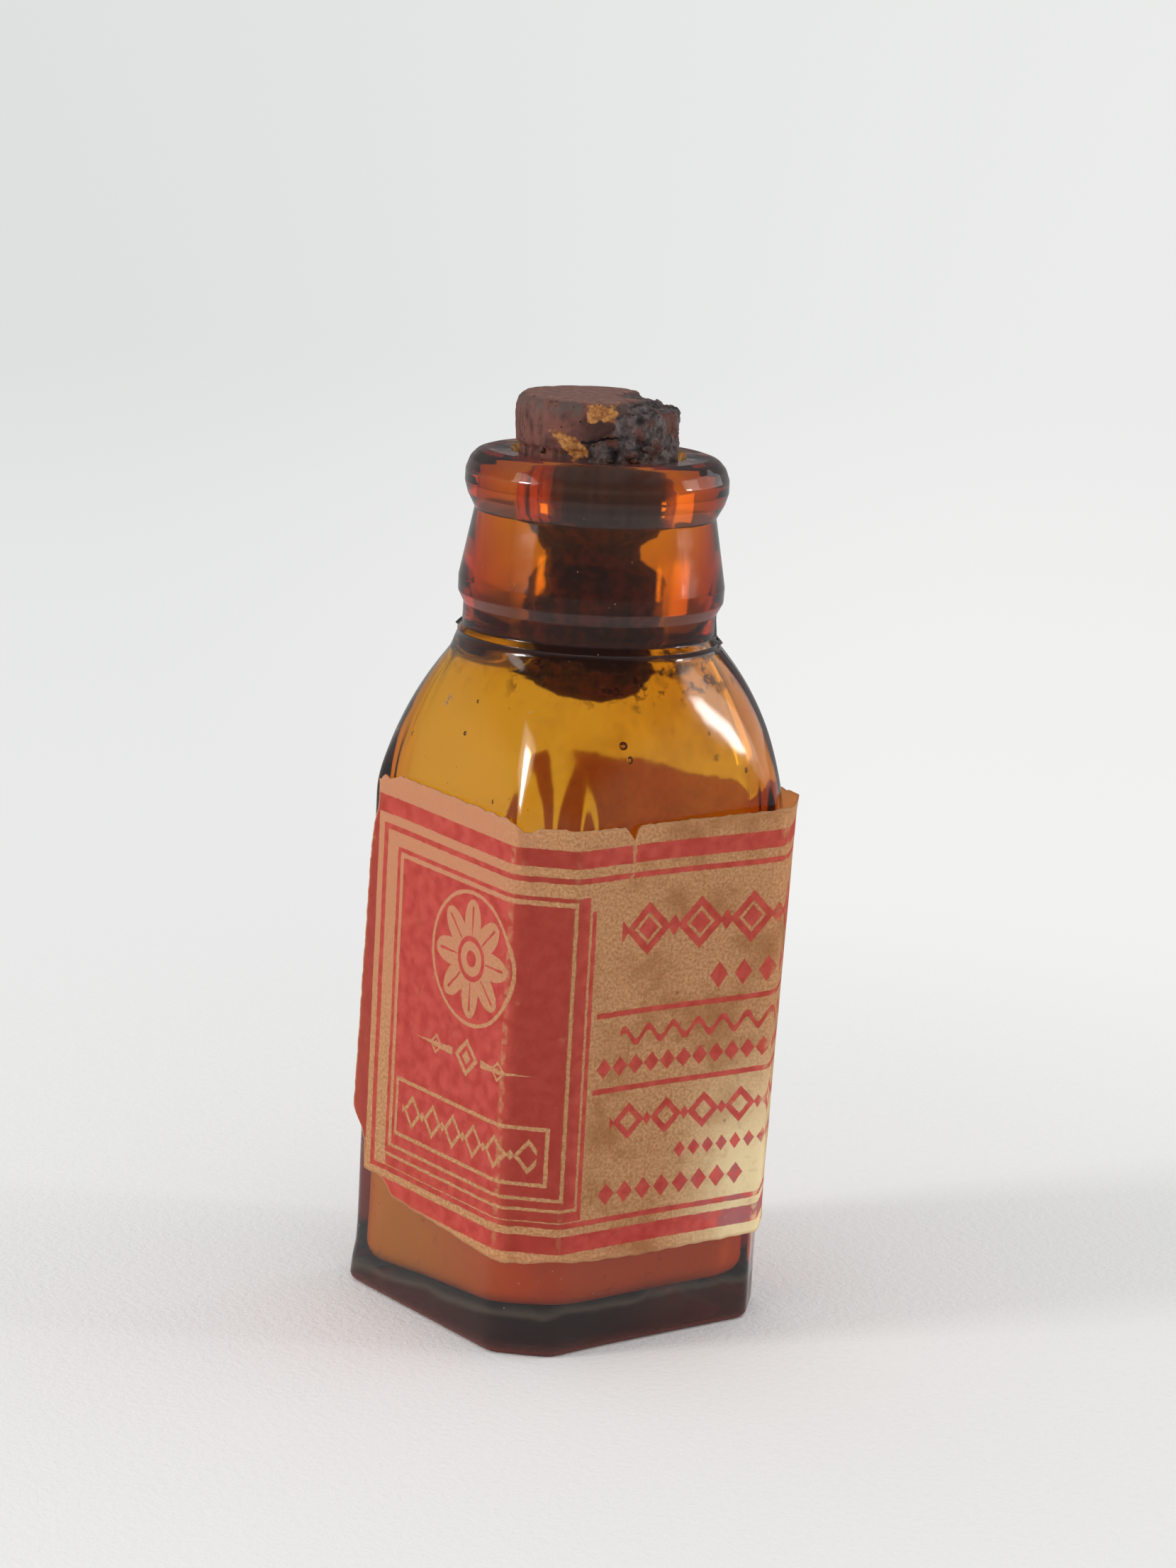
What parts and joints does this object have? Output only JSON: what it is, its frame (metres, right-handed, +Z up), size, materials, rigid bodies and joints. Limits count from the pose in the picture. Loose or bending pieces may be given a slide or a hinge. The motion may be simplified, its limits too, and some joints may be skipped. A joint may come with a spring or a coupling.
{
  "type": "corked square medicine bottle",
  "caption": "Small square amber glass bottle with bevelled corners, a flared collar and beaded lip, stopped by an old tapered cork and wrapped in a worn paper label.",
  "frame": {"origin": "middle of the foot, on the surface that the bottle stands on", "axes": "+Z up the neck, -Y out of the label's text side, +X to the right of that side"},
  "size_m": [0.0301, 0.0301, 0.0816],
  "materials": {
    "amber_glass": "moulded gloss, thick and dark at the foot and edges",
    "stained_cork": "tincture-stained cork, crumbled on one side",
    "printed_paper": "aged kraft paper with worn red print"
  },
  "bodies": {
    "bottle": {"glass_bottle": "amber_glass", "paper_label": "printed_paper"},
    "stopper": {"cork_stopper": "stained_cork"}
  },
  "joints": [
    {"name": "stopper_pull", "type": "slide", "parent": "bottle", "child": "stopper", "axis": [0, 0, 1], "range_m": [0, 0.04]}
  ]
}
